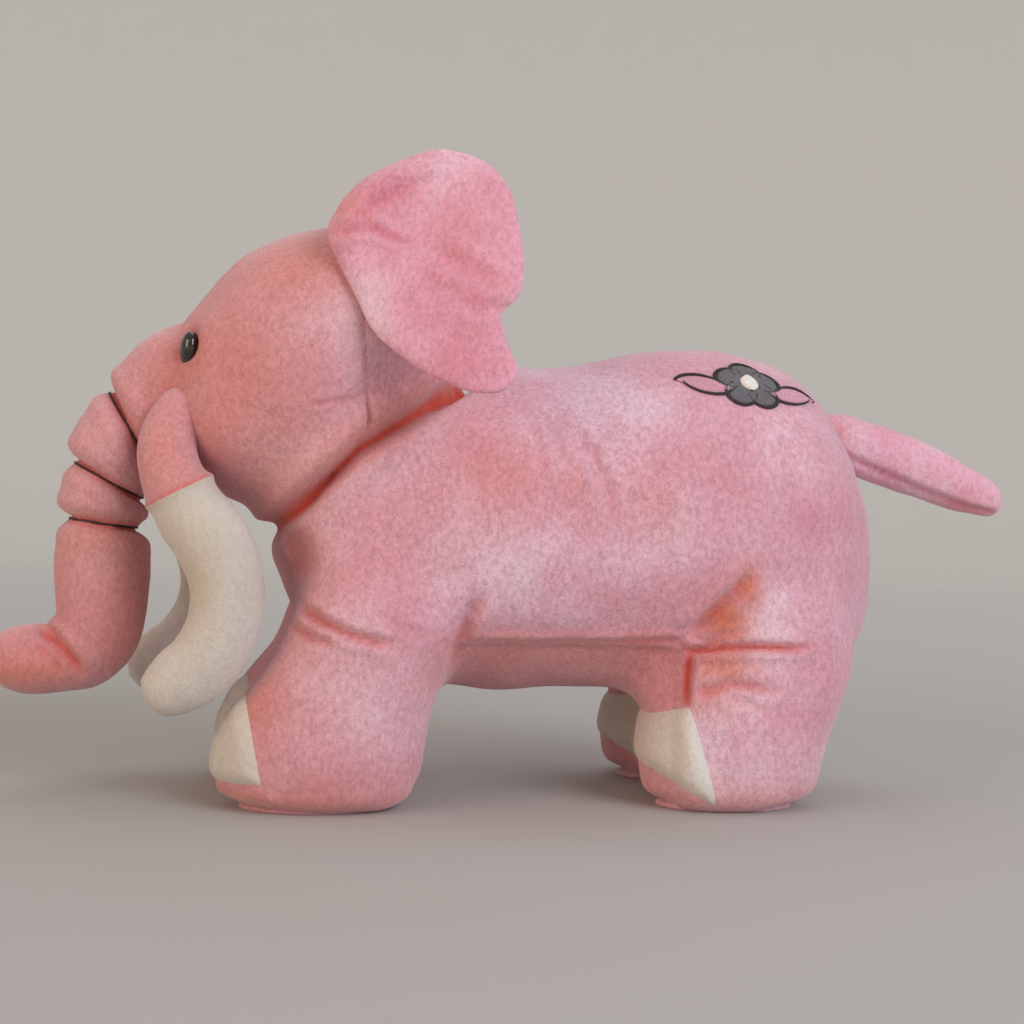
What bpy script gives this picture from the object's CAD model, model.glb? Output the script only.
# A stuffed toy elephant in pink plush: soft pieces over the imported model, camera, floor and lights.
import math

import bpy
import bmesh
import numpy as np
from mathutils import Matrix, Vector, noise
from mathutils.bvhtree import BVHTree


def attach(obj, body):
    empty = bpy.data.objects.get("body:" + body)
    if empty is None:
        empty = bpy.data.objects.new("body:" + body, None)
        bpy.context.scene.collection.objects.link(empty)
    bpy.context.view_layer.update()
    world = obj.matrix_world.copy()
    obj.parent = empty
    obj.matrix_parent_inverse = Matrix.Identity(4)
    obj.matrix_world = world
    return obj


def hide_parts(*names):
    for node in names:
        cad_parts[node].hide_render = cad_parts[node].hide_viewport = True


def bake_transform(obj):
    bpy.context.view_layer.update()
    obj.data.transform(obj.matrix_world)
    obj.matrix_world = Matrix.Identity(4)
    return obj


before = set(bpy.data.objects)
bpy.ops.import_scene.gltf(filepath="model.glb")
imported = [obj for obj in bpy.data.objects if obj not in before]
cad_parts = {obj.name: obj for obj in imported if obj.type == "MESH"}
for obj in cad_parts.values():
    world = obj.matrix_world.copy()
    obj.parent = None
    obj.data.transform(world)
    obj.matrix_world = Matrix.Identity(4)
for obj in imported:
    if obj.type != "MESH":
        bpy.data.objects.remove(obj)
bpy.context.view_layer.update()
mm = 0.001
sides = {"left": 1, "right": -1}  # forms are written for the left, at -Y
scene = bpy.context.scene
print("frame loaded")


# camera, floor and lights
cameraFacts = {"target": (-0.0043, 0, 0.108), "distance": 0.6, "turn": -9, "roll": 1.5, "lens": 54.07}


def makeCamera(facts):
    turn = math.radians(facts["turn"])
    back = Vector((math.sin(turn), -math.cos(turn), 0))
    camera = bpy.data.objects.new("camera", bpy.data.cameras.new("camera"))
    scene.collection.objects.link(camera)
    camera.data.lens = facts["lens"]
    camera.data.clip_start = 0.01
    camera.location = Vector(facts["target"]) + back * facts["distance"]
    aim = (-back).to_track_quat("-Z", "Y").to_matrix().to_4x4()
    aim = aim @ Matrix.Rotation(math.radians(facts["roll"]), 4, "Z")
    camera.rotation_euler = aim.to_euler()
    scene.camera = camera


stageFacts = {"flat": 2.2, "height": 1.9, "curve": 0.9, "near": "bab8b6", "far": "f3f1ee"}


def linear(code):  # "rrggbb" to the linear colour that the shader wants
    parts = [int(code[i:i + 2], 16) / 255 for i in (0, 2, 4)]
    return tuple(c / 12.92 if c < 0.04045 else ((c + 0.055) / 1.055) ** 2.4 for c in parts) + (1,)


def newObject(name, bm, smooth=True):
    mesh = bpy.data.meshes.new(name)
    bm.to_mesh(mesh)
    bm.free()
    obj = bpy.data.objects.new(name, mesh)
    scene.collection.objects.link(obj)
    for face in mesh.polygons:
        face.use_smooth = smooth
    return obj


def makeStage(facts):
    bm = bmesh.new()
    start = bm.verts.new((0, 0, 0))
    profile = [(facts["flat"], 0)]
    for step in range(1, 11):
        angle = math.pi / 2 * step / 10
        profile.append((facts["flat"] + facts["curve"] * math.sin(angle),
                        facts["curve"] * (1 - math.cos(angle))))
    profile.append((profile[-1][0], facts["height"]))
    chain = [start] + [bm.verts.new((out, 0, up)) for out, up in profile]
    for one, other in zip(chain, chain[1:]):
        bm.edges.new((one, other))
    bmesh.ops.spin(bm, geom=bm.verts[:] + bm.edges[:], cent=(0, 0, 0), axis=(0, 0, 1),
                   angle=math.tau, steps=72, use_merge=True)
    bmesh.ops.remove_doubles(bm, verts=bm.verts, dist=1e-5)
    bmesh.ops.recalc_face_normals(bm, faces=bm.faces)
    floor = newObject("floor", bm)
    floor.data.materials.append(makeFloorPaint(facts))


def makeFloorPaint(facts):  # paler towards the wall
    material = bpy.data.materials.new("paleFloor")
    material.use_nodes = True
    tree = material.node_tree
    shader = tree.nodes["Principled BSDF"]
    spot = tree.nodes.new("ShaderNodeTexCoord")
    length = tree.nodes.new("ShaderNodeVectorMath")
    length.operation = "LENGTH"
    shade = tree.nodes.new("ShaderNodeMapRange")
    shade.inputs["From Min"].default_value = 0.3
    shade.inputs["From Max"].default_value = facts["flat"]
    blend = tree.nodes.new("ShaderNodeMix")
    blend.data_type = "RGBA"
    blend.inputs[6].default_value = linear(facts["near"])
    blend.inputs[7].default_value = linear(facts["far"])
    tree.links.new(spot.outputs["Object"], length.inputs[0])
    tree.links.new(length.outputs["Value"], shade.inputs["Value"])
    tree.links.new(shade.outputs["Result"], blend.inputs[0])
    tree.links.new(blend.outputs[2], shader.inputs["Base Color"])
    shader.inputs["Roughness"].default_value = 0.8
    return material


lightFacts = {
    "window": {"at": (1.0, -1.45, 0.95), "size": 1.2, "watts": 21, "colour": (0.88, 0.94, 1.0)},
    "lamp": {"at": (-1.5, -0.9, 0.6), "size": 1.0, "watts": 9, "colour": (1.0, 0.66, 0.42)},
    "overhead": {"at": (0.2, 0.5, 1.7), "size": 1.2, "watts": 4, "colour": (1.0, 0.99, 0.98)},
}
roomFacts = {"tint": (1, 0.97, 0.94, 1), "strength": 0.40}


def makeLights(lights):
    for name, facts in lights.items():
        data = bpy.data.lights.new(name, "AREA")
        data.size = facts["size"]
        data.energy = facts["watts"]
        data.color = facts["colour"]
        light = bpy.data.objects.new(name, data)
        scene.collection.objects.link(light)
        light.location = facts["at"]
        aim = Vector((0, 0, 0.1)) - light.location
        light.rotation_euler = aim.to_track_quat("-Z", "Y").to_euler()
    world = bpy.data.worlds.new("paleRoom")
    scene.world = world
    world.use_nodes = True
    background = world.node_tree.nodes["Background"]
    background.inputs["Color"].default_value = roomFacts["tint"]
    background.inputs["Strength"].default_value = roomFacts["strength"]


makeCamera(cameraFacts)
makeStage(stageFacts)
makeLights(lightFacts)
scene.view_settings.view_transform = "Standard"
print("camera, floor and lights made")


# plush and the other finishes
def nodeTree(name):
    material = bpy.data.materials.new(name)
    material.use_nodes = True
    tree = material.node_tree
    return material, tree, tree.nodes["Principled BSDF"]


def addNode(tree, kind, **values):
    node = tree.nodes.new(kind)
    for key, value in values.items():
        if key in node.inputs:
            node.inputs[key].default_value = value
        else:
            setattr(node, key, value)
    return node


def objectNoise(tree, scale, detail, stretch=(1, 1, 1), turn=(0, 0, 0), roughness=0.5):
    place = addNode(tree, "ShaderNodeTexCoord")
    mapping = addNode(tree, "ShaderNodeMapping", Scale=stretch, Rotation=turn)
    texture = addNode(tree, "ShaderNodeTexNoise", Scale=scale, Detail=detail, Roughness=roughness)
    tree.links.new(place.outputs["Object"], mapping.inputs["Vector"])
    tree.links.new(mapping.outputs["Vector"], texture.inputs["Vector"])
    return texture.outputs["Fac"]


def ramp(tree, source, stops):
    node = addNode(tree, "ShaderNodeValToRGB")
    points = node.color_ramp.elements
    while len(points) < len(stops):
        points.new(0.5)
    for point, (place, colour) in zip(points, stops):
        point.position = place
        point.color = colour
    tree.links.new(source, node.inputs["Fac"])
    return node.outputs["Color"]


def mixed(tree, kind, share, first, second):
    node = tree.nodes.new("ShaderNodeMix")
    node.data_type = "RGBA"
    node.blend_type = kind
    shareSocket, one, other = node.inputs[0], node.inputs[6], node.inputs[7]
    for socket, value in ((shareSocket, share), (one, first), (other, second)):
        if isinstance(value, bpy.types.NodeSocket):
            tree.links.new(value, socket)
        else:
            socket.default_value = value
    return node.outputs[2]


def grey(value):
    return (value, value, value, 1)


plushFacts = {
    "pinkPlush": {"deep": "e09bab", "base": "e9afc0", "frost": "f4cfdf", "fold": "d9543c", "flush": "e0805f",
                  "face": "de8f86", "sheen": 0.6, "tint": (1, 0.84, 0.92, 1), "strokes": 0.26},
    "rosePlush": {"deep": "e899ad", "base": "f2b0c5", "frost": "f8cfde", "fold": "d9606a", "flush": "e58a80",
                  "sheen": 0.6, "tint": (1, 0.84, 0.92, 1), "strokes": 0.22},
    "whitePlush": {"deep": "cfc5bb", "base": "dbd2c9", "frost": "e8e2dc", "fold": "cdb0a4", "flush": "d8c9b2",
                   "sheen": 0.4, "tint": (1, 0.98, 0.97, 1), "strokes": 0.08},
}


grain = {"patches": 22, "brushed": 60, "pile": 560, "tufts": 1500, "flat": (1, 1, 0.7)}  # a metre
faceFrom, faceFull, faceShare = -0.03, -0.13, 0.6  # the coral comes in between these x


def makePlush(name, facts):
    # short pile: brushed patches, fine curls, a deeper tone down in the folds
    material, tree, shader = nodeTree(name)
    patches = objectNoise(tree, grain["patches"], 2, roughness=0.4)
    brushed = objectNoise(tree, grain["brushed"], 2, grain["flat"], (0, 0.5, 0), 0.45)
    pile = objectNoise(tree, grain["pile"], 3, grain["flat"], (0.2, 0.6, 0), 0.65)
    tufts = objectNoise(tree, grain["tufts"], 2, roughness=0.7)
    nap = mixed(tree, "MIX", 0.25, patches, brushed)
    nap = mixed(tree, "MIX", 0.2, nap, pile)
    colour = ramp(tree, nap, [(0.36, linear(facts["deep"])), (0.50, linear(facts["base"])),
                              (0.64, linear(facts["frost"]))])
    fold = addNode(tree, "ShaderNodeAttribute", attribute_name="fold").outputs["Fac"]
    flush = addNode(tree, "ShaderNodeAttribute", attribute_name="flush").outputs["Fac"]
    if "face" in facts:  # a warmer coral towards the face
        lengthwise = addNode(tree, "ShaderNodeSeparateXYZ")
        tree.links.new(addNode(tree, "ShaderNodeTexCoord").outputs["Object"], lengthwise.inputs[0])
        warmth = addNode(tree, "ShaderNodeMapRange")
        for socket, value in (("From Min", faceFrom), ("From Max", faceFull), ("To Max", faceShare)):
            warmth.inputs[socket].default_value = value
        tree.links.new(lengthwise.outputs["X"], warmth.inputs["Value"])
        colour = mixed(tree, "MIX", warmth.outputs["Result"], colour, linear(facts["face"]))
    colour = mixed(tree, "MIX", flush, colour, linear(facts["flush"]))
    colour = mixed(tree, "MIX", fold, colour, linear(facts["fold"]))
    curls = mixed(tree, "MIX", 0.45, pile, tufts)
    strokes = ramp(tree, curls, [(0.36, grey(1 - facts["strokes"])), (0.58, grey(1.0))])
    colour = mixed(tree, "MULTIPLY", 1.0, colour, strokes)
    tree.links.new(colour, shader.inputs["Base Color"])
    shader.inputs["Roughness"].default_value = 0.9
    shader.inputs["Specular IOR Level"].default_value = 0.2
    shader.inputs["Sheen Weight"].default_value = facts["sheen"]
    shader.inputs["Sheen Roughness"].default_value = 0.5
    shader.inputs["Sheen Tint"].default_value = facts["tint"]
    bump = addNode(tree, "ShaderNodeBump", Strength=0.7, Distance=0.0012)
    tree.links.new(curls, bump.inputs["Height"])
    tree.links.new(bump.outputs["Normal"], shader.inputs["Normal"])
    return material


def makePlain(name, code, roughness, spread=0.06, scale=300, bumpDepth=0.0002, coat=0.0):
    material, tree, shader = nodeTree(name)
    speckle = objectNoise(tree, scale, 3)
    low = tuple(c * (1 - spread) for c in linear(code)[:3]) + (1,)
    high = tuple(min(1, c * (1 + spread)) for c in linear(code)[:3]) + (1,)
    tree.links.new(ramp(tree, speckle, [(0.35, low), (0.65, high)]), shader.inputs["Base Color"])
    shader.inputs["Roughness"].default_value = roughness
    shader.inputs["Coat Weight"].default_value = coat
    bump = addNode(tree, "ShaderNodeBump", Strength=0.4, Distance=bumpDepth)
    tree.links.new(speckle, bump.inputs["Height"])
    tree.links.new(bump.outputs["Normal"], shader.inputs["Normal"])
    return material


finishes = {name: makePlush(name, facts) for name, facts in plushFacts.items()}
threads = {"darkThread": "33262a", "greyThread": "6a686e", "roseThread": "d9a0b4", "creamThread": "e9e2dc"}
for name, tone in threads.items():
    finishes[name] = makePlain(name, tone, 0.5, 0.22, 1600, 0.0003)
finishes["eyePlastic"] = makePlain("eyePlastic", "140d0a", 0.07, 0.3, 220, 0.00001, 1.0)
print("finishes made")


# forms: a closed tube through rings, written in millimetres
def throughRings(rows, count):  # a smooth curve through rows of numbers, spread by their distance
    rows = np.array(rows, float)
    knots = np.concatenate([[0], np.cumsum(np.linalg.norm(np.diff(rows, axis=0), axis=1))])
    slopes = np.gradient(rows, knots, axis=0)
    at = np.linspace(0, knots[-1], count)
    span = np.clip(np.searchsorted(knots, at, side="right") - 1, 0, len(knots) - 2)
    length = (knots[span + 1] - knots[span])[:, None]
    s = (at[:, None] - knots[span][:, None]) / length
    return ((2 * s ** 3 - 3 * s ** 2 + 1) * rows[span] + (s ** 3 - 2 * s ** 2 + s) * length * slopes[span]
            + (3 * s ** 2 - 2 * s ** 3) * rows[span + 1] + (s ** 3 - s ** 2) * length * slopes[span + 1])


axes = {"x": Vector((1, 0, 0)), "z": Vector((0, 0, 1))}


def tubeThrough(form, around=40, rows=48, side=1):
    # rings are (x, y, z, tall, wide); the first and last row are the poles
    path = throughRings(form["rings"], rows + 1)
    centres = path[:, :3] * mm
    reach = np.maximum(path[:, 3:], 0) * mm
    reach[0] = reach[-1] = 0
    travel = np.gradient(centres, axis=0)
    bm = bmesh.new()
    bmesh.ops.create_uvsphere(bm, u_segments=around, v_segments=rows, radius=1)
    for vert in bm.verts:
        row = round(math.acos(max(-1, min(1, vert.co.z))) / math.pi * rows)
        angle = math.atan2(vert.co.y, vert.co.x)
        ahead = axes.get(form.get("along")) or Vector(travel[row]).normalized()
        wide = (Vector((0, 1, 0)) - ahead * ahead.y).normalized()
        tall = wide.cross(ahead)
        spot = Vector(centres[row]) + tall * math.cos(angle) * reach[row][0]
        spot += wide * math.sin(angle) * reach[row][1]
        vert.co = Vector((spot.x, spot.y * side, spot.z))
    bmesh.ops.recalc_face_normals(bm, faces=bm.faces)
    return bm


def pourInto(whole, part):
    copy = bpy.data.meshes.new("part")
    part.to_mesh(copy)
    part.free()
    whole.from_mesh(copy)
    bpy.data.meshes.remove(copy)


def joined(parts):
    whole = bmesh.new()
    for part in parts:
        pourInto(whole, part)
    return whole


def applied(obj):  # the mesh with its modifiers settled
    result = bpy.data.meshes.new_from_object(obj.evaluated_get(bpy.context.evaluated_depsgraph_get()))
    obj.modifiers.clear()
    obj.data = result
    for face in result.polygons:
        face.use_smooth = True
    return obj


def remeshed(obj, voxel):
    modifier = obj.modifiers.new("remesh", "REMESH")
    modifier.mode = "VOXEL"
    modifier.voxel_size = voxel
    return applied(obj)


def smoothed(obj, rounds, above=-math.inf):
    bm = bmesh.new()
    bm.from_mesh(obj.data)
    for _ in range(rounds):
        bmesh.ops.smooth_vert(bm, verts=[v for v in bm.verts if v.co.z > above], factor=0.5,
                              use_axis_x=True, use_axis_y=True, use_axis_z=True)
    bm.to_mesh(obj.data)
    bm.free()
    return obj


def subdivided(obj, levels):
    modifier = obj.modifiers.new("subdivide", "SUBSURF")
    modifier.levels = modifier.render_levels = levels
    return applied(obj)


def pointsOf(obj):
    flat = np.empty(len(obj.data.vertices) * 3, np.float32)
    obj.data.vertices.foreach_get("co", flat)
    return flat.reshape(-1, 3).astype(float)


def normalsOf(obj):
    flat = np.empty(len(obj.data.vertices) * 3, np.float32)
    obj.data.vertices.foreach_get("normal", flat)
    return flat.reshape(-1, 3).astype(float)


def setPoints(obj, points):
    obj.data.vertices.foreach_set("co", points.astype(np.float32).ravel())
    obj.data.update()


def inflated(obj, pressure, cap, pinned, stiffness=12):
    # air pressure swells the skin; pinned points stay
    rest = pointsOf(obj)
    cloth = obj.modifiers.new("cloth", "CLOTH")
    settings = cloth.settings
    settings.quality = 5
    settings.use_pressure = True
    settings.uniform_pressure_force = pressure
    settings.tension_stiffness = settings.compression_stiffness = stiffness
    settings.shear_stiffness = stiffness / 2
    settings.bending_stiffness = 0.6
    settings.effector_weights.gravity = 0
    cloth.collision_settings.use_collision = False
    group = obj.vertex_groups.new(name="pinned")
    for index in np.nonzero(pinned > 0.01)[0]:
        group.add([int(index)], float(pinned[index]), "REPLACE")
    settings.vertex_group_mass = "pinned"
    for step in range(1, 21):
        scene.frame_set(step)
    applied(obj)
    scene.frame_set(1)
    obj.vertex_groups.clear()
    move = pointsOf(obj) - rest
    far = np.linalg.norm(move, axis=1, keepdims=True)
    setPoints(obj, rest + move * np.minimum(1, cap / np.maximum(far, 1e-9)))
    return obj


# sculpting: every mark moves points along the skin's own normal
def distanceTo(points, path):  # from (x, z) to a line of straight stretches, and how far along it
    spots = points[:, (0, 2)]
    path = np.array(path, float) * mm
    lengths = np.linalg.norm(np.diff(path, axis=0), axis=1)
    nearest = np.full(len(spots), 1e9)
    progress = np.zeros(len(spots))
    passed = 0
    for one, other, length in zip(path, path[1:], lengths):
        along = other - one
        share = np.clip(((spots - one) @ along) / (along @ along), 0, 1)
        away = np.linalg.norm(spots - one - share[:, None] * along, axis=1)
        closer = away < nearest
        nearest[closer] = away[closer]
        progress[closer] = ((passed + share * length) / lengths.sum())[closer]
        passed += length
    return nearest, progress


class Marks:  # gathers the grooves and swellings of one skin, and the deeper tone inside them
    def __init__(self, points, normals):
        self.points, self.normals = points, normals
        self.groove = np.zeros(len(points))
        self.swell = np.zeros(len(points))
        self.fold = np.zeros(len(points))
        self.flush = np.zeros(len(points))

    def keep(self, **values):  # of two marks on one spot the stronger one counts
        for name, value in values.items():
            setattr(self, name, np.maximum(getattr(self, name), value))

    def line(self, path, width, depth, only=1.0, puff=0.35, tone=0.6, taper=(0.2, 0.3)):
        away, progress = distanceTo(self.points, path)
        away = away / (width * mm)
        ends = smoothStep(progress, 0, taper[0]) * (1 - smoothStep(progress, 1 - taper[1], 1)) * only
        self.keep(groove=depth * np.exp(-away ** 2) * ends,
                  swell=puff * depth * np.exp(-(away - 2.1) ** 2) * ends,
                  fold=tone * np.exp(-(away / 1.1) ** 2) * ends)

    def blush(self, spot, size, strength, only=1.0):  # a soft patch of the warmer tone
        away = np.hypot((self.points[:, 0] / mm - spot[0]) / size[0],
                        (self.points[:, 2] / mm - spot[1]) / size[1])
        self.keep(flush=strength * np.exp(-away ** 2) * only)

    def settle(self, obj):
        lift = self.swell * (1 - np.clip(self.groove, 0, 1)) - self.groove
        setPoints(obj, self.points + self.normals * (lift * mm)[:, None])
        for name, values in (("fold", self.fold), ("flush", self.flush)):
            layer = obj.data.attributes.new(name, "FLOAT", "POINT")
            layer.data.foreach_set("value", np.clip(values, 0, 1).astype(np.float32))


def camelName(name):
    first, *others = name.split("_")
    return first + "".join(word.title() for word in others)


def smoothStep(value, low, high):
    t = np.clip((value - low) / (high - low), 0, 1)
    return t * t * (3 - 2 * t)


def lumps(points, normals, size, depth, seed):  # the filling shows through as soft hills
    shift = Vector((seed * 3.1, seed * 1.7, seed * 2.3))
    hills = np.array([noise.noise(Vector(p) / (size * mm) + shift) for p in points])
    points += normals * (hills * depth * mm)[:, None]


def place(obj, finish, slot, body=None, blend=None, fill=0.8, replaces=()):
    obj.data.materials.clear()
    obj.data.materials.append(finishes[finish])
    if blend:
        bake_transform(obj)
    else:
        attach(obj, body)
    if replaces:
        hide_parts(*replaces)


# body, neck, head and legs: one skin, cut apart where they hinge
torsoForm = {"along": "x", "rings": [
    (-95, 0, 95, 0, 0), (-91, 0, 94.5, 20, 24), (-78, 0, 90, 36, 40), (-55, 0, 90, 46, 50),
    (-25, 0, 97, 59.5, 56), (-8, 0, 99, 63.5, 57.5), (10, 0, 101, 64.5, 58),
    (50, 0, 104.7, 68, 58), (85, 0, 105.2, 68, 56), (108, 0, 102.5, 61.5, 50),
    (124, 0, 95.5, 48, 39), (134, 0, 89, 30, 24), (138, 0, 87, 0, 0)]}
neckForm = {"rings": [
    (-38, 0, 102, 0, 0), (-45, 0, 109, 24, 30), (-57, 0, 121, 38, 42), (-68, 0, 133, 39, 43),
    (-80, 0, 143, 26, 34), (-86, 0, 149, 0, 0)]}
headForm = {"along": "x", "rings": [
    (-26, 0, 178, 0, 0), (-31, 0, 178, 20, 26), (-42, 0, 177.5, 31.5, 39), (-58, 0, 174.5, 40.5, 48),
    (-78, 0, 163.5, 52, 52), (-88, 0, 160, 52.5, 51.5),
    (-98, 0, 158.7, 51.5, 50), (-114, 0, 155, 45, 43), (-126, 0, 151, 33, 34),
    (-134, 0, 150.5, 22, 24), (-138, 0, 151, 0, 0)]}
frontLegForm = {"along": "z", "rings": [
    (-79, -33, 0.3, 0, 0), (-79, -33, 0.3, 25, 15), (-79, -33, 2.5, 32, 21.5), (-79, -33, 8, 37, 26),
    (-78.5, -33, 17, 38.5, 27.5),
    (-76, -33, 28, 37.5, 27), (-70, -33, 42, 35, 27), (-62, -33, 58, 31, 26.5),
    (-60, -33, 72, 29, 25.5), (-60, -33, 84, 21.5, 20), (-60, -33, 93, 0, 0)]}
hindLegForm = {"along": "z", "rings": [
    (74, -33, 0.3, 0, 0), (74, -33, 0.3, 24, 15), (74, -33, 2.5, 31.5, 21), (74, -33, 8, 36.5, 25.5),
    (74.5, -33, 17, 38.5, 27),
    (76.5, -33, 28, 38.5, 27), (82, -33, 42, 38, 27), (88.5, -33, 58, 35, 26.5),
    (90, -33, 71, 32.5, 25.5), (89, -33, 83, 23, 20), (88, -33, 92, 0, 0)]}
skinFacts = {"voxel": 0.006, "pressure": 3.0, "cap": 0.004, "footStart": 34, "footEnd": 10,
             "neckPlane": (-62.7, 131.5), "neckTilt": 34.5, "neckBand": 14, "headBand": 12}
footStart = Vector((0, 0, skinFacts["footStart"] * mm))
footEnd = Vector((0, 0, skinFacts["footEnd"] * mm))
neckTilt = math.radians(skinFacts["neckTilt"])
neckWay = Vector((-math.sin(neckTilt), 0, math.cos(neckTilt)))
neckSpot = Vector((skinFacts["neckPlane"][0] * mm, 0, skinFacts["neckPlane"][1] * mm))
neckCut = neckSpot - neckWay * skinFacts["neckBand"] * mm
neckEnd = neckSpot + neckWay * skinFacts["headBand"] * mm


def makeBody(facts):
    parts = [tubeThrough(torsoForm, 40, 48), tubeThrough(neckForm, 32, 20), tubeThrough(headForm, 40, 40)]
    for side in sides.values():
        parts += [tubeThrough(frontLegForm, 32, 36, side), tubeThrough(hindLegForm, 32, 36, side)]
    skin = remeshed(newObject("skin", joined(parts)), facts["voxel"])
    smoothed(skin, 4, above=0.008)
    heights = pointsOf(skin)[:, 2]
    pinned = 1 - smoothStep(heights, 0.004, 0.012)
    inflated(skin, facts["pressure"], facts["cap"], pinned)
    subdivided(skin, 2)
    return skin


skin = makeBody(skinFacts)
print("skin made", len(skin.data.vertices))


# creases and hills of the stuffed skin; paths are (x, z) on the flank, seen from the side
creases = [  # path, width, depth, puff, tone
    ([(-88, 74), (-80, 68.5), (-70, 64), (-58, 61), (-50, 61.5)], 1.7, 2.4, 0.6, 0.55),  # over the front leg
    ([(-90, 66), (-82, 62), (-72, 60)], 1.6, 1.3, 0.5, 0.35),
    ([(-62, 71), (-52, 67), (-40, 62)], 1.8, 0.8, 0.5, 0.12),
    ([(-29, 50), (-29.5, 60), (-27, 70), (-23, 80)], 2.6, 2.6, 0.4, 0.25),  # behind the front leg
    ([(48, 62.5), (55, 58.5), (66, 60.5), (78, 61.5), (90, 61), (103, 62)], 1.4, 2.6, 0.7, 0.85),  # thigh
    ([(55.5, 60), (54.6, 54), (53.6, 47), (53, 36)], 1.5, 2.2, 0.5, 0.9),  # in front of the thigh
    ([(54, 41), (60, 45), (68, 47.5), (78, 46.5), (86, 45)], 1.8, 1.6, 0.6, 0.5),
    ([(66, 44), (76, 40), (84, 36)], 1.8, 0.9, 0.5, 0.15),
    ([(52, 63), (58, 69), (65, 77), (72, 84), (79, 91)], 2.2, 2.2, 0.8, 0.3),  # up towards the rump
    ([(58, 60), (66, 64.5), (76, 66)], 1.5, 0.9, 0.4, 0.35),
    ([(-90, 100), (-86, 90), (-85, 80)], 5, 1.0, 0.2, 0.25),  # breast beside the leg
    ([(-6, 140), (-3, 130), (-2, 117)], 1.6, 0.7, 0.9, 0.05),  # shallow pinches in the side
    ([(8, 139), (16, 128), (21, 114), (21, 102)], 2.4, 1.1, 1.0, 0.05),
    ([(30, 120), (38, 102), (40, 86)], 7.0, 1.1, 0.3, 0.0),
    ([(86, 122), (97, 106), (104, 92)], 7.0, 0.9, 0.3, 0.0),
]
seams = {"belly": [(-40, 60), (-30, 60.5), (-8, 60), (22, 60.5), (50, 62), (58, 62)],
         "cheek": [(-66.6, 186), (-66.2, 170), (-64.9, 152), (-63.6, 132)],
         "dart": [(-84, 144), (-80.5, 144.4), (-73, 146), (-65, 148.7)]}
blushes = [  # middle, half size, strength: where the pile parts and the warmer ground shows
    ((-98, 118), (16, 60), 0.35), ((-94, 84), (12, 26), 0.55), ((-104, 45), (12, 18), 0.55),
    ((67, 71), (9, 9), 0.95), ((74, 82), (6, 9), 0.8), ((66, 54), (12, 7), 0.75), ((62, 44), (9, 9), 0.45),
    ((-18, 120), (17, 16), 0.30), ((8, 118), (7, 12), 0.22), ((36, 112), (12, 14), 0.22),
    ((-110, 150), (20, 34), 0.35), ((-90, 195), (26, 18), 0.45), ((-128, 160), (14, 16), 0.45),
]


gussetFacts = {"top": 60.5, "front": (-36, -28), "back": (48, 56), "sink": 2.4, "flush": 0.4}
neckFold = {"depth": 9, "width": 2.6, "reach": (62, 74), "jawFrom": -67, "jawDrop": 0.26, "jawShare": 0.8,
            "headSwell": (3.4, 9, 5.5), "neckSwell": (1.6, -9, 6), "tone": 3.0, "flush": (0.6, 3, 8)}
eyePit = {"height": 3.6, "size": 5.2, "tall": 1, "sunk": 1.5}
eyeShade = {"height": 0.75, "size": 7.0, "tall": 1}
cheekHill = {"height": 4.4, "size": 6.0, "tall": 1.5, "fromEye": (8, -4, 0.5)}
jowlHill = {"height": 4.5, "size": 10, "tall": 1.5, "at": (-116, -38, 132)}
backSeam = {"width": 0.9, "depth": 0.7, "crownHalf": 15, "crownFrom": 20}


def bell(away, height, centre, width):
    return height * np.exp(-((away - centre) / width) ** 2)


def hill(points, spot, facts):
    away = np.linalg.norm((points - np.array(spot)) / np.array((1, 1, facts["tall"])), axis=1) / mm
    return bell(away, facts["height"], 0, facts["size"])


def mirrored(spot, side):
    return Vector((spot[0], spot[1] * side, spot[2])) * mm


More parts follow.
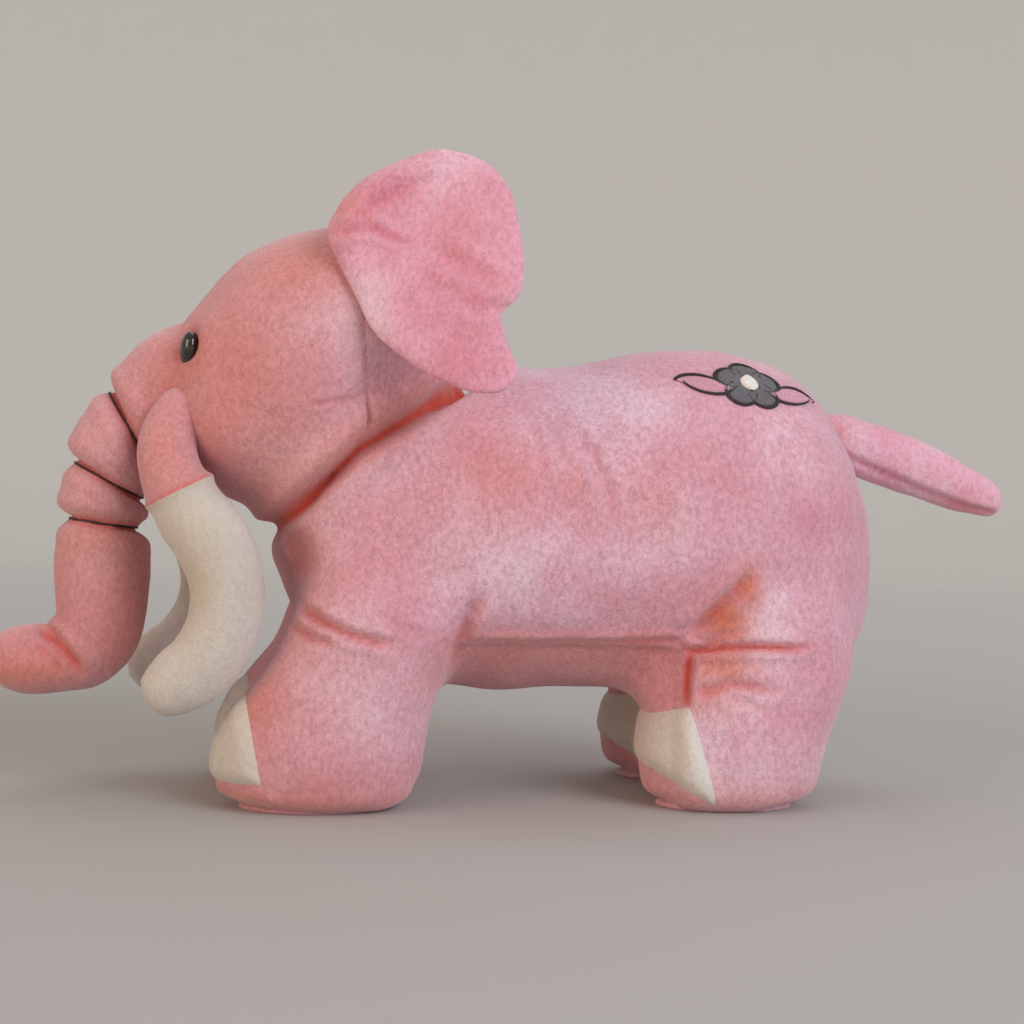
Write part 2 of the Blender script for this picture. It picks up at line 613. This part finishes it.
def sculptSkin(skin):
    points, normals = pointsOf(skin), normalsOf(skin)
    flank = smoothStep(np.abs(points[:, 1]), 0.012, 0.024)
    facing = smoothStep(normals[:, 1] * np.sign(points[:, 1]), 0.1, 0.45)
    lumps(points, normals, 44, 1.8, 1)
    lumps(points, normals, 17, 0.6, 2)
    x, y, z = (points / mm).T
    marks = Marks(points, normals)
    for path, width, depth, puff, tone in creases:
        marks.line(path, width, depth, flank * facing, puff, tone)
    lower = smoothStep(-normals[:, 2], -0.45, 0.1) * flank
    marks.line(seams["belly"], 1.5, 0.9, lower, 0.9, 0.12, (0.1, 0.1))
    between = smoothStep(x, *gussetFacts["front"]) * (1 - smoothStep(x, *gussetFacts["back"]))
    gusset = smoothStep(gussetFacts["top"] - z, -0.5, 3) * between
    marks.keep(groove=gussetFacts["sink"] * gusset, flush=gussetFacts["flush"] * gusset)
    for name in ("cheek", "dart"):
        marks.line(seams[name], 0.8, 0.7, flank * facing, 0.4, 0.22, (0.05, 0.05))
    for spot, size, strength in blushes:
        marks.blush(spot, size, strength, facing)
    marks.keep(flush=0.45 * smoothStep(-normals[:, 2], -0.05, 0.6) * (1 - smoothStep(z, 62, 70)))
    # the head sits down on the neck in one deep fold, lower and shallower under the jaw
    away = (points - np.array(neckSpot)) @ np.array(neckWay) / mm
    away += neckFold["jawDrop"] * np.maximum(0, neckFold["jawFrom"] - x)
    fromNeck = np.hypot(x - skinFacts["neckPlane"][0], z - skinFacts["neckPlane"][1])
    near = 1 - smoothStep(fromNeck, *neckFold["reach"])
    jaw = (1 - smoothStep(x, -88, -72)) * (1 - smoothStep(np.abs(y), 18, 38))
    pinch = bell(away, neckFold["depth"], 0, neckFold["width"]) * (1 - neckFold["jawShare"] * jaw)
    swell = bell(away, *neckFold["headSwell"]) + bell(away, *neckFold["neckSwell"])
    marks.keep(groove=pinch * near, swell=swell * near, fold=bell(away, 1, 0, neckFold["tone"]) * near,
               flush=bell(away, *neckFold["flush"]) * near)
    # seams down the middle of the back and along the crown strip
    middle = bell(y, backSeam["depth"], 0, backSeam["width"]) * smoothStep(x, -30, -10)
    marks.keep(groove=middle * smoothStep(normals[:, 2], 0.1, 0.5))
    strip = bell(np.abs(y), backSeam["depth"], backSeam["crownHalf"], backSeam["width"])
    marks.keep(groove=strip * (away > backSeam["crownFrom"]) * smoothStep(normals[:, 2], -0.1, 0.2))
    # the eyes are set in pits, between cheek and jowl
    for side in sides.values():
        pit = eyeSpot(side, eyePit["sunk"])
        cheek = eyeSpot(side) + mirrored(cheekHill["fromEye"], side)
        marks.keep(groove=hill(points, pit, eyePit), fold=hill(points, pit, eyeShade))
        marks.keep(swell=hill(points, cheek, cheekHill))
        marks.keep(swell=hill(points, mirrored(jowlHill["at"], side), jowlHill))
    marks.settle(skin)
    points = pointsOf(skin)
    points[:, 2] = np.maximum(points[:, 2], 0.3 * mm)
    setPoints(skin, points)


# eyes: a glossy bead, set on edge beside the trunk
eyeFacts = {"at": (-127.6, -25.4, 163.5), "yaw": 80, "radius": 6.0, "depth": 3.8, "across": 0.86,
            "tall": 1.15, "lean": 24}


def eyeSpot(side, inward=0.0):
    x, y, z = eyeFacts["at"]
    yaw = math.radians(eyeFacts["yaw"])
    return Vector(((x + math.sin(yaw) * inward) * mm, (y + math.cos(yaw) * inward) * mm * side, z * mm))


def makeEye(sideName, side):
    bm = bmesh.new()
    bmesh.ops.create_uvsphere(bm, u_segments=40, v_segments=28, radius=eyeFacts["radius"] * mm)
    flatness = eyeFacts["depth"] / eyeFacts["radius"]
    bmesh.ops.scale(bm, verts=bm.verts, vec=(eyeFacts["across"], flatness, eyeFacts["tall"]))
    turn = Matrix.Rotation(math.radians(-eyeFacts["yaw"] * side), 3, "Z")
    lean = Matrix.Rotation(math.radians(eyeFacts["lean"]), 3, "Y")
    bmesh.ops.rotate(bm, verts=bm.verts, cent=(0, 0, 0), matrix=turn @ lean)
    bmesh.ops.translate(bm, verts=bm.verts, vec=eyeSpot(side))
    eye = newObject(f"{sideName}Eye", bm)
    place(eye, "eyePlastic", "eye_plastic", body="head", fill=None,
          replaces=(f"{sideName}_eye", f"{sideName}_eye_washer"))


def halfOf(name, source, at, direction, keepAhead):
    # the closed part of source ahead of a plane, or behind it
    bm = bmesh.new()
    bm.from_mesh(source.data)
    bmesh.ops.bisect_plane(bm, geom=bm.verts[:] + bm.edges[:] + bm.faces[:], dist=1e-7, plane_co=at,
                           plane_no=direction, clear_outer=not keepAhead, clear_inner=keepAhead)
    rim = [edge for edge in bm.edges if edge.is_boundary]
    for edge in rim:
        edge.smooth = False
    bmesh.ops.holes_fill(bm, edges=rim)
    return newObject(name, bm)


def islandNear(name, source, quadrant):  # the leg in one corner, from the row of four
    bm = bmesh.new()
    bm.from_mesh(source.data)
    far = [v for v in bm.verts if v.co.x * quadrant[0] < 0 or v.co.y * quadrant[1] < 0]
    bmesh.ops.delete(bm, geom=far, context="VERTS")
    return newObject(name, bm)


def drop(obj):
    bpy.data.objects.remove(obj)


sculptSkin(skin)
upper = halfOf("upper", skin, footStart, (0, 0, 1), True)
feet = halfOf("feet", skin, footStart, (0, 0, 1), False)
body = halfOf("body", upper, neckCut, neckWay, False)
head = halfOf("head", upper, neckCut, neckWay, True)
place(body, "pinkPlush", "pink_plush", body="torso",
      replaces=("left_body_panel", "right_body_panel", "belly_gusset", "body_stuffing"))
place(head, "pinkPlush", "pink_plush", blend=("torso", "head", neckCut, neckEnd),
      replaces=("left_head_panel", "right_head_panel", "crown_gusset", "head_stuffing"))
corners = {"front": -1, "hind": 1}
for sideName, side in sides.items():
    for legName, ahead in corners.items():
        whole = f"{sideName}_{legName}_leg"
        leg = islandNear(camelName(whole), feet, (ahead, -side))
        place(leg, "pinkPlush", "pink_plush", blend=("torso", whole, footStart, footEnd),
              replaces=(f"{whole}_skin", f"{whole}_stuffing"))


# white toe caps: pads cut to the foot's own shape, plump in the middle, and a flat sole under each foot
capFacts = {  # each line is a point (x, z) and the way into the cap; rim and plump are heights over the skin
    "front": [((-103.5, 39), (-0.977, -0.213)), ((-98, 10.5), (-0.05, 1)), ((-104, 41.5), (0.45, -0.893))],
    "hind": [((55.5, 38), (-0.96, -0.28)), ((57, 6.5), (0.50, 0.866)), ((54, 39.5), (0.38, -0.925))],
    "rim": -0.5, "plump": 1.9, "margin": 5.5, "thickness": 1.6}
soleFacts = {"front": (-79, 27, 17), "hind": (74, 26, 16.5), "height": 1.8, "edge": 0.7}


def capPlanes(legName):
    return [(Vector((spot[0], 0, spot[1])) * mm, Vector((way[0], 0, way[1])))
            for spot, way in capFacts[legName]]


def makeToeCap(whole, legName, side):
    bm = bmesh.new()
    bm.from_mesh(skin.data)
    wrongSide = [v for v in bm.verts if v.co.y * side > 0.002 or v.co.z > 0.05
                 or (v.co.x > -0.08 if legName == "front" else abs(v.co.x - 0.050) > 0.02)]
    bmesh.ops.delete(bm, geom=wrongSide, context="VERTS")
    for at, inward in capPlanes(legName):
        bmesh.ops.bisect_plane(bm, geom=bm.verts[:] + bm.edges[:] + bm.faces[:], dist=1e-7, plane_co=at,
                               plane_no=inward, clear_inner=True)
    bm.verts.ensure_lookup_table()
    bm.normal_update()
    lifts = []
    for vert in bm.verts:
        depth = min((vert.co - at).dot(inward) for at, inward in capPlanes(legName)) / mm
        inner = min(depth, abs(vert.co.y) / mm - 4)
        t = max(0.0, min(1.0, inner / capFacts["margin"]))
        lifts.append(capFacts["rim"] + (capFacts["plump"] - capFacts["rim"]) * math.sin(t * math.pi / 2))
    for vert, lift in zip(bm.verts, lifts):
        vert.co += vert.normal * lift * mm
    bmesh.ops.solidify(bm, geom=bm.faces[:], thickness=capFacts["thickness"] * mm)
    bmesh.ops.recalc_face_normals(bm, faces=bm.faces)
    cap = newObject(f"{camelName(whole)}ToeCap", bm)
    place(cap, "whitePlush", "white_plush", blend=("torso", whole, footStart, footEnd),
          replaces=(f"{whole}_toe_cap",))


def makeSole(whole, legName, side):
    x, long, wide = soleFacts[legName]
    bm = bmesh.new()
    bmesh.ops.create_circle(bm, cap_ends=True, segments=64, radius=1)
    bmesh.ops.scale(bm, verts=bm.verts, vec=(long * mm, wide * mm, 1))
    bmesh.ops.translate(bm, verts=bm.verts, vec=(x * mm, -33 * mm * side, 0))
    raised = bmesh.ops.extrude_face_region(bm, geom=bm.faces[:])["geom"]
    top = [part for part in raised if isinstance(part, bmesh.types.BMVert)]
    bmesh.ops.translate(bm, verts=top, vec=(0, 0, soleFacts["height"] * mm))
    rims = [edge for edge in bm.edges if abs(edge.verts[0].co.z - edge.verts[1].co.z) < 1e-6]
    bmesh.ops.bevel(bm, geom=rims, offset=soleFacts["edge"] * mm, segments=3, profile=0.5,
                    affect="EDGES", material=-1)
    bmesh.ops.recalc_face_normals(bm, faces=bm.faces)
    sole = newObject(f"{camelName(whole)}Sole", bm)
    place(sole, "pinkPlush", "pink_plush", body=whole, fill=0.3, replaces=(f"{whole}_sole",))


for sideName, side in sides.items():
    for legName in corners:
        makeToeCap(f"{sideName}_{legName}_leg", legName, side)
        makeSole(f"{sideName}_{legName}_leg", legName, side)
print("toe caps and soles made")


# rump embroidery: a flower and two leaves in satin stitch
flowerFacts = {"middle": (79, 158.5), "lean": 40, "petals": 5, "reach": 7.4, "petal": 5.6,
               "heart": 3.6, "pitch": 0.62, "thread": 0.40, "lift": 0.55, "leafOut": 17.5,
               "leafLong": 9.5, "leafHigh": 5.2}


def stitch(bm, onCloth, start, end, lift):
    # one thread from start to end, (x, z), arched a little over the cloth
    rows = []
    for step in range(7):
        share = step / 6
        x = start[0] + (end[0] - start[0]) * share
        z = start[1] + (end[1] - start[1]) * share
        hit, normal = onCloth(x, z)
        if hit is None:
            return
        spot = (hit + normal * (lift * math.sin(math.pi * (0.12 + 0.76 * share)) - 0.1) * mm) / mm
        thick = flowerFacts["thread"] if 0 < step < 6 else 0
        rows.append((spot.x, spot.y, spot.z, thick, thick))
    pourInto(bm, tubeThrough({"rings": rows}, 8, 10))


def makeFlower(surface):
    facts = flowerFacts
    cx, cz = facts["middle"]
    lean = math.radians(facts["lean"])  # the cloth leans back here
    upward = Vector((0, math.sin(lean), math.cos(lean)))
    ahead = Vector((0, math.cos(lean), -math.sin(lean)))
    seat = surface.ray_cast(Vector((cx * mm, -0.12, cz * mm)), Vector((0, 1, 0)))[0]

    def onCloth(x, z):
        origin = seat + Vector(((x - cx) * mm, 0, 0)) + upward * (z - cz) * mm - ahead * 0.04
        return surface.ray_cast(origin, ahead)[:2]

    petals, leaves, heart, edging = (bmesh.new() for _ in range(4))
    for index in range(facts["petals"]):
        turn = math.tau * index / facts["petals"] + math.pi / 2
        out, across = (math.cos(turn), math.sin(turn)), (-math.sin(turn), math.cos(turn))
        count = int(facts["petal"] / facts["pitch"])
        for row in range(-count, count + 1):
            offset = row * facts["pitch"]
            half = math.sqrt(max(0.2, facts["petal"] ** 2 - offset ** 2))
            near, far = max(facts["heart"] * 0.8, facts["reach"] - half), facts["reach"] + half
            ends = [(cx + out[0] * r + across[0] * offset, cz + out[1] * r + across[1] * offset)
                    for r in (near, far)]
            stitch(petals, onCloth, *ends, facts["lift"])
        ring = 26
        for step in range(ring):  # a dark edging of short slanting stitches round each petal
            angle = turn + math.pi * 1.36 * (step / (ring - 1) - 0.5)
            spot = [(cx + out[0] * facts["reach"] + math.cos(angle + lean) * r,
                     cz + out[1] * facts["reach"] + math.sin(angle + lean) * r)
                    for r, lean in ((facts["petal"] - 0.4, -0.05), (facts["petal"] + 0.9, 0.08))]
            stitch(edging, onCloth, *spot, facts["lift"] * 1.2)
    for way in (-1, 1):
        lx, lz = cx + way * facts["leafOut"], cz - 1.5
        count = int(facts["leafLong"] / facts["pitch"])
        for row in range(-count, count + 1):
            along = row * facts["pitch"]
            half = facts["leafHigh"] * (1 - (along / facts["leafLong"]) ** 2) ** 0.8 + 0.2
            x, z = lx + along, lz + along * way * 0.22
            stitch(leaves, onCloth, (x - 1.2 * way, z - half), (x + 1.2 * way, z + half), facts["lift"])
            for up in (-1, 1):
                stitch(edging, onCloth, (x + 1.0 * way * up, z + up * (half - 0.4)),
                       (x + 1.9 * way * up, z + up * (half + 0.8)), facts["lift"] * 1.2)
    count = int(facts["heart"] / facts["pitch"]) + 1
    for row in range(-count, count + 1):
        offset = row * facts["pitch"]
        half = math.sqrt(max(0.1, (facts["heart"] + 0.4) ** 2 - offset ** 2))
        stitch(heart, onCloth, (cx - half, cz + offset), (cx + half, cz + offset), facts["lift"] * 1.9)
    for name, bm, finish in (("flowerPetals", petals, "greyThread"), ("flowerLeaves", leaves, "roseThread"),
                             ("flowerHeart", heart, "creamThread"), ("flowerEdging", edging, "darkThread")):
        part = newObject(name, bm)
        place(part, finish, "embroidery_thread", body="torso", fill=None,
              replaces=("rump_embroidery",) if name == "flowerPetals" else ())


def surfaceOf(obj):
    bm = bmesh.new()
    bm.from_mesh(obj.data)
    tree = BVHTree.FromBMesh(bm)
    bm.free()
    return tree


makeFlower(surfaceOf(body))
print("flower stitched")
for spare in (skin, upper, feet):
    drop(spare)
print("skin sculpted and cut", len(body.data.polygons), len(head.data.polygons))


# trunk: one stuffed tube tied round with thread, cut at each tie
trunkForm = {"rings": [
    (-104, 0, 160, 0, 0), (-112, 0, 159, 14, 14), (-122, 0, 156, 22, 24), (-132, 0, 151.5, 22.5, 24.5),
    (-141, 0, 145, 19.5, 21.5), (-146, 0, 139.5, 17.6, 18.9), (-150, 0, 136, 16.2, 17),
    (-152, 0, 133, 16.6, 17.6), (-154.8, 0, 127.5, 17.4, 18.5), (-156.2, 0, 121.5, 16.6, 17.5),
    (-157.5, 0, 116, 15.4, 16.2), (-158.2, 0, 112.8, 16.1, 17), (-159, 0, 108.5, 16.8, 17.6),
    (-159.2, 0, 104.6, 16.2, 16.9), (-159.3, 0, 100, 15, 15.8), (-159.3, 0, 97, 16, 16.5),
    (-159.3, 0, 90, 17.6, 17.8), (-159, 0, 77, 17.3, 17.5), (-159, 0, 66, 16.2, 17),
    (-160.5, 0, 58, 15.4, 16.4), (-165, 0, 52, 14.6, 15.6), (-172, 0, 49.6, 13, 14.6),
    (-181, 0, 49, 13.4, 14.6), (-189, 0, 49, 12.8, 14), (-196, 0, 49, 9.4, 10.4), (-200, 0, 49, 0, 0)]}
trunkHinges = {  # (x, z), and the degrees forward of straight down that the tube runs there
    "trunk_upper": (-150, 136, 58), "trunk_middle": (-157.5, 116, 27), "trunk_lower": (-159.3, 100, 7),
    "trunk_tip": (-166, 52.5, 60)}
trunkTies = {"trunk_upper", "trunk_middle", "trunk_lower"}
tieFacts = {"radius": 0.5, "sink": 0.1, "turns": 96}


def trunkHinge(name):
    x, z, lean = trunkHinges[name]
    lean = math.radians(lean)
    return Vector((x * mm, 0, z * mm)), Vector((-math.sin(lean), 0, -math.cos(lean)))


def makeTrunk():
    trunk = remeshed(newObject("trunk", tubeThrough(trunkForm, 56, 220)), 0.0024)
    smoothed(trunk, 3)
    subdivided(trunk, 1)
    points, normals = pointsOf(trunk), normalsOf(trunk)
    lumps(points, normals, 22, 0.7, 5)
    marks = Marks(points, normals)
    for name in trunkTies:
        spot, way = map(np.array, trunkHinge(name))
        away = (points - spot) @ way / mm
        near = 1 - smoothStep(np.linalg.norm(points - spot, axis=1), 0.022, 0.026)
        pinch = 2.6 * np.exp(-(away / 2.3) ** 2) + 1.5 * np.exp(-(away / 0.8) ** 2)
        marks.groove = np.maximum(marks.groove, pinch * near)
        marks.swell = np.maximum(marks.swell, 0.8 * np.exp(-((np.abs(away) - 6) / 3) ** 2) * near)
        marks.fold = np.maximum(marks.fold, 0.8 * np.exp(-(away / 1.5) ** 2) * near)
    marks.line([(-182, 62), (-174, 57), (-167, 50), (-163, 42)], 1.9, 2.4, 1.0, 0.5, 0.7)  # the tip's turn
    marks.line([(-181, 55), (-176, 52), (-170, 44)], 2.2, 1.0, 1.0, 0.5, 0.25)
    for spot, size, strength in (((-128, 152), (12, 14), 0.45), ((-160, 96), (22, 10), 0.3),
                                 ((-150, 70), (7, 30), 0.4), ((-185, 44), (20, 7), 0.5)):
        marks.blush(spot, size, strength)
    marks.settle(trunk)
    return trunk


def tieLoop(name, trunk):
    # one turn of thread: a circle spun round the tube's own line, then drawn out to the tube's surface
    spot, way = trunkHinge(name)
    surface = surfaceOf(trunk)
    turn = Vector((0, 0, -1)).rotation_difference(way).to_matrix()
    wide = 10 * mm
    bm = bmesh.new()
    made = bmesh.ops.create_circle(bm, segments=8, radius=tieFacts["radius"] * mm)
    bmesh.ops.rotate(bm, verts=bm.verts, cent=(0, 0, 0), matrix=Matrix.Rotation(math.pi / 2, 3, "X"))
    bmesh.ops.translate(bm, verts=made["verts"], vec=(wide, 0, 0))
    bmesh.ops.spin(bm, geom=bm.verts[:] + bm.edges[:], cent=(0, 0, 0), axis=(0, 0, 1), angle=math.tau,
                   steps=tieFacts["turns"], use_merge=True)
    bmesh.ops.remove_doubles(bm, verts=bm.verts, dist=1e-6)
    for vert in bm.verts:
        outward = Vector((vert.co.x, vert.co.y, 0)).normalized()
        reach = surface.ray_cast(spot, turn @ outward)[3]
        vert.co += outward * (reach - wide + tieFacts["sink"] * mm)
        vert.co = turn @ vert.co + spot
    bmesh.ops.recalc_face_normals(bm, faces=bm.faces)
    return newObject(f"{camelName(name)}Tie", bm)


def makeLengths():
    rest = trunk = makeTrunk()
    over, current, entry, entryWay = None, "head", None, None
    for name in (*trunkHinges, None):
        spot, way = trunkHinge(name) if name else (None, None)
        label = "trunkBridge" if current == "head" else camelName(current)
        piece = halfOf(label, rest, spot, way, False) if name else rest
        if current == "head":
            place(piece, "pinkPlush", "pink_plush", body="head",
                  replaces=("trunk_bridge_skin", "trunk_bridge_stuffing"))
        else:
            piece.name = label
            place(piece, "pinkPlush", "pink_plush", blend=(over, current, entry, entry + entryWay * 9 * mm),
                  replaces=(f"{current}_skin", f"{current}_stuffing"))
        if name in trunkTies:
            place(tieLoop(name, trunk), "darkThread", "dark_thread", body=current, fill=None,
                  replaces=(f"{name}_thread",))
        if name:
            following = halfOf("rest", rest, spot, way, True)
            if rest is not trunk:
                drop(rest)
            over, current, entry, entryWay, rest = current, name, spot, way, following
    drop(trunk)


makeLengths()
print("trunk made")


# tusks: a pink sleeve and a white tusk
tuskForm = {"rings": [
    (-125, -20, 151, 0, 0), (-129, -22, 145, 7.5, 8), (-132.5, -24.5, 137.5, 9.6, 9.6),
    (-134.5, -28, 128, 10.4, 10.4), (-132.5, -32, 118, 11.3, 11.4), (-126.5, -36, 107.5, 13.2, 13.2),
    (-117.5, -39.5, 95, 13.6, 14), (-112, -40, 80, 13.2, 13.8), (-113, -39.5, 65, 13, 13.6),
    (-120, -38.5, 52, 12.8, 13), (-129, -37, 44.5, 11.8, 12), (-136, -36, 39.5, 8.3, 8.8),
    (-139, -35.5, 37.5, 0, 0)]}
tuskSeam = {"at": (-129, 112.5), "turn": -28, "width": 1.6, "depth": 1.0}
farSway = {"degrees": 7, "pivot": (-133, 0, 137)}  # the right tusk hangs a little further forward


def makeTusk(sideName, side):
    tusk = newObject("tusk", tubeThrough(tuskForm, 56, 150, side))
    points, normals = pointsOf(tusk), normalsOf(tusk)
    lumps(points, normals, 19, 0.6, 7 + side)
    turn = math.radians(tuskSeam["turn"])
    way = Vector((math.sin(turn), 0, math.cos(turn)))
    spot = Vector((tuskSeam["at"][0] * mm, 0, tuskSeam["at"][1] * mm))
    away = (points - np.array(spot)) @ np.array(way) / mm
    marks = Marks(points, normals)
    marks.groove = tuskSeam["depth"] * np.exp(-(away / tuskSeam["width"]) ** 2)
    marks.swell = 0.6 * np.exp(-((away + 6) / 4.5) ** 2)
    marks.fold = 0.45 * np.exp(-(away / 1.5) ** 2)
    marks.blush((-136, 128), (8, 14), 0.3)
    marks.blush((-122, 84), (9, 26), 0.5)
    marks.settle(tusk)
    whole = f"{sideName}_tusk"
    sleeve = halfOf(f"{sideName}TuskSleeve", tusk, spot, way, True)
    white = halfOf(f"{sideName}Tusk", tusk, spot, way, False)
    if sideName == "right":
        pivot = Vector(farSway["pivot"]) * mm
        turned = Matrix.Rotation(math.radians(farSway["degrees"]), 4, "Y")
        for piece in (sleeve, white):
            piece.data.transform(Matrix.Translation(pivot) @ turned @ Matrix.Translation(-pivot))
    place(sleeve, "pinkPlush", "pink_plush", body=whole, replaces=(f"{whole}_sleeve",))
    place(white, "whitePlush", "white_plush", body=whole, replaces=(f"{whole}_skin", f"{whole}_stuffing"))
    drop(tusk)


for sideName, side in sides.items():
    makeTusk(sideName, side)
print("tusks made")


# tail
tailForm = {"rings": [
    (114, 0, 144.5, 0, 0), (118, 0, 143, 8, 8.4), (123, 0, 141.5, 9.8, 10.2), (138, 0, 137.2, 11, 11),
    (155, 0, 132, 11.4, 11.3), (172, 0, 126, 10.4, 10.4), (186, 0, 120.5, 8.6, 8.8),
    (195.5, 0, 116.6, 5.6, 5.8), (199.5, 0, 115, 0, 0)]}
tailSeam = [(120, 137), (140, 129), (160, 121.5), (180, 115), (196, 112)]


def makeTail():
    tail = newObject("tail", tubeThrough(tailForm, 48, 120))
    points, normals = pointsOf(tail), normalsOf(tail)
    lumps(points, normals, 14, 0.9, 11)
    side = smoothStep(np.abs(normals[:, 1]), 0.1, 0.4)
    marks = Marks(points, normals)
    marks.line(tailSeam, 1.2, 1.1, side, 0.4, 0.4, (0.05, 0.05))
    marks.blush((180, 113), (20, 4), 0.5)
    marks.blush((122, 140), (7, 12), 0.6)
    marks.settle(tail)
    place(tail, "rosePlush", "pink_plush", body="tail", replaces=("tail_skin", "tail_stuffing"))


makeTail()
print("tail made")


# ears: two panels sewn round the edge, lightly filled, the front edge rolled over
earFacts = {"thick": 8.5, "centre": (-45, 193), "around": 120, "rows": 90, "hinge": (-63, -52, 172),
            "leanBack": -0.3, "leanIn": 0.31, "pressure": 2.0, "cap": 0.0025, "roll": 3.8,
            "hollow": 3.2, "hollowAt": (-44, 212), "lobe": 1.5}
earOutline = [(-80, 207), (-77, 214), (-70, 223), (-57, 231.5), (-41, 236.5), (-28, 234.5), (-18.5, 225),
              (-14.5, 210), (-12.5, 197), (-14, 184), (-20.5, 175), (-18, 164), (-16, 155), (-20, 149.5),
              (-28, 148), (-42, 152.5), (-55, 161), (-64, 170), (-70, 182), (-76, 195)]
earCreases = [  # path, width, depth, puff, tone
    ([(-79, 201), (-73, 206), (-66, 207), (-58, 203.5), (-50, 201)], 1.7, 1.8, 0.6, 0.25),
    ([(-72, 208), (-64, 216), (-56, 221), (-49, 224)], 3.2, 1.6, 0.6, 0.2),
    ([(-62, 209), (-48, 212), (-34, 217)], 3.6, 0.8, 0.9, 0.0),
    ([(-46, 200), (-33, 193), (-20, 184)], 3.0, 0.9, 0.9, 0.1),
    ([(-17, 178), (-26, 177), (-36, 181)], 2.6, 1.3, 0.7, 0.1),
]


def makeEar(sideName, side):
    centre = np.array(earFacts["centre"], float)
    outline = np.array(earOutline, float) - centre
    turns = np.arctan2(outline[:, 1], outline[:, 0])
    order = np.argsort(turns)
    turns, reach = turns[order], np.hypot(*outline.T)[order]
    wrapped = np.concatenate([turns - math.tau, turns, turns + math.tau])
    rows = throughRings(np.column_stack([wrapped * 40, np.tile(reach, 3)]), 2400)
    bm = bmesh.new()
    bmesh.ops.create_uvsphere(bm, u_segments=earFacts["around"], v_segments=earFacts["rows"], radius=1)
    bottom = earFacts["hinge"]
    for vert in bm.verts:
        angle = math.atan2(vert.co.y, vert.co.x)
        share = math.hypot(vert.co.x, vert.co.y)
        far = float(np.interp(angle * 40, rows[:, 0], rows[:, 1])) * share
        x, z = centre[0] + math.cos(angle) * far, centre[1] + math.sin(angle) * far
        rim = math.sqrt(max(0.0, 1 - share ** 5))
        y = bottom[1] + earFacts["leanBack"] * (x - bottom[0]) + earFacts["leanIn"] * (z - bottom[2])
        y -= earFacts["thick"] / 2 * (1 - math.copysign(rim, vert.co.z))
        vert.co = Vector((x * mm, y * mm * side, z * mm))
    bmesh.ops.recalc_face_normals(bm, faces=bm.faces)
    ear = newObject(f"{sideName}Ear", bm)
    base = pointsOf(ear)
    hinged = 1 - smoothStep(distanceTo(base, [(-80, 206), (-63, 172)])[0], 0.004, 0.010)
    inflated(ear, earFacts["pressure"], earFacts["cap"], hinged, stiffness=25)
    points, normals = pointsOf(ear), normalsOf(ear)
    outer = smoothStep(-normals[:, 1] * side, 0.1, 0.5)
    lumps(points, normals, 20, 0.9, 13 + side)
    marks = Marks(points, normals)
    for path, width, depth, puff, tone in earCreases:
        marks.line(path, width, depth, outer, puff, tone)
    marks.blush((-74, 213), (8, 12), 0.6)
    marks.blush((-33, 204), (9, 9), 0.25)
    marks.blush((-21, 186), (5, 5), 0.25)
    marks.settle(ear)
    # the upper front edge rolls over and stands proud; the middle is hollow
    points = pointsOf(ear)
    toRim = distanceTo(points, [(-80, 207), (-77, 214), (-70, 223), (-57, 231.5), (-46, 235)])[0]
    roll = np.exp(-((toRim / mm - 5) / 5) ** 2)
    toHollow = np.linalg.norm(points[:, (0, 2)] - np.array(earFacts["hollowAt"]) * mm, axis=1)
    hollow = np.exp(-(toHollow / 0.017) ** 2)
    lobe = smoothStep(0.178 - points[:, 2], 0, 0.03)
    inward = earFacts["hollow"] * hollow - earFacts["roll"] * roll - earFacts["lobe"] * lobe
    points[:, 1] += side * inward * mm
    setPoints(ear, points)
    whole = f"{sideName}_ear"
    place(ear, "rosePlush", "pink_plush", body=whole, fill=0.35,
          replaces=(f"{whole}_inner_panel", f"{whole}_outer_panel"))


for sideName, side in sides.items():
    makeEar(sideName, side)
    makeEye(sideName, side)
print("ears and eyes made")
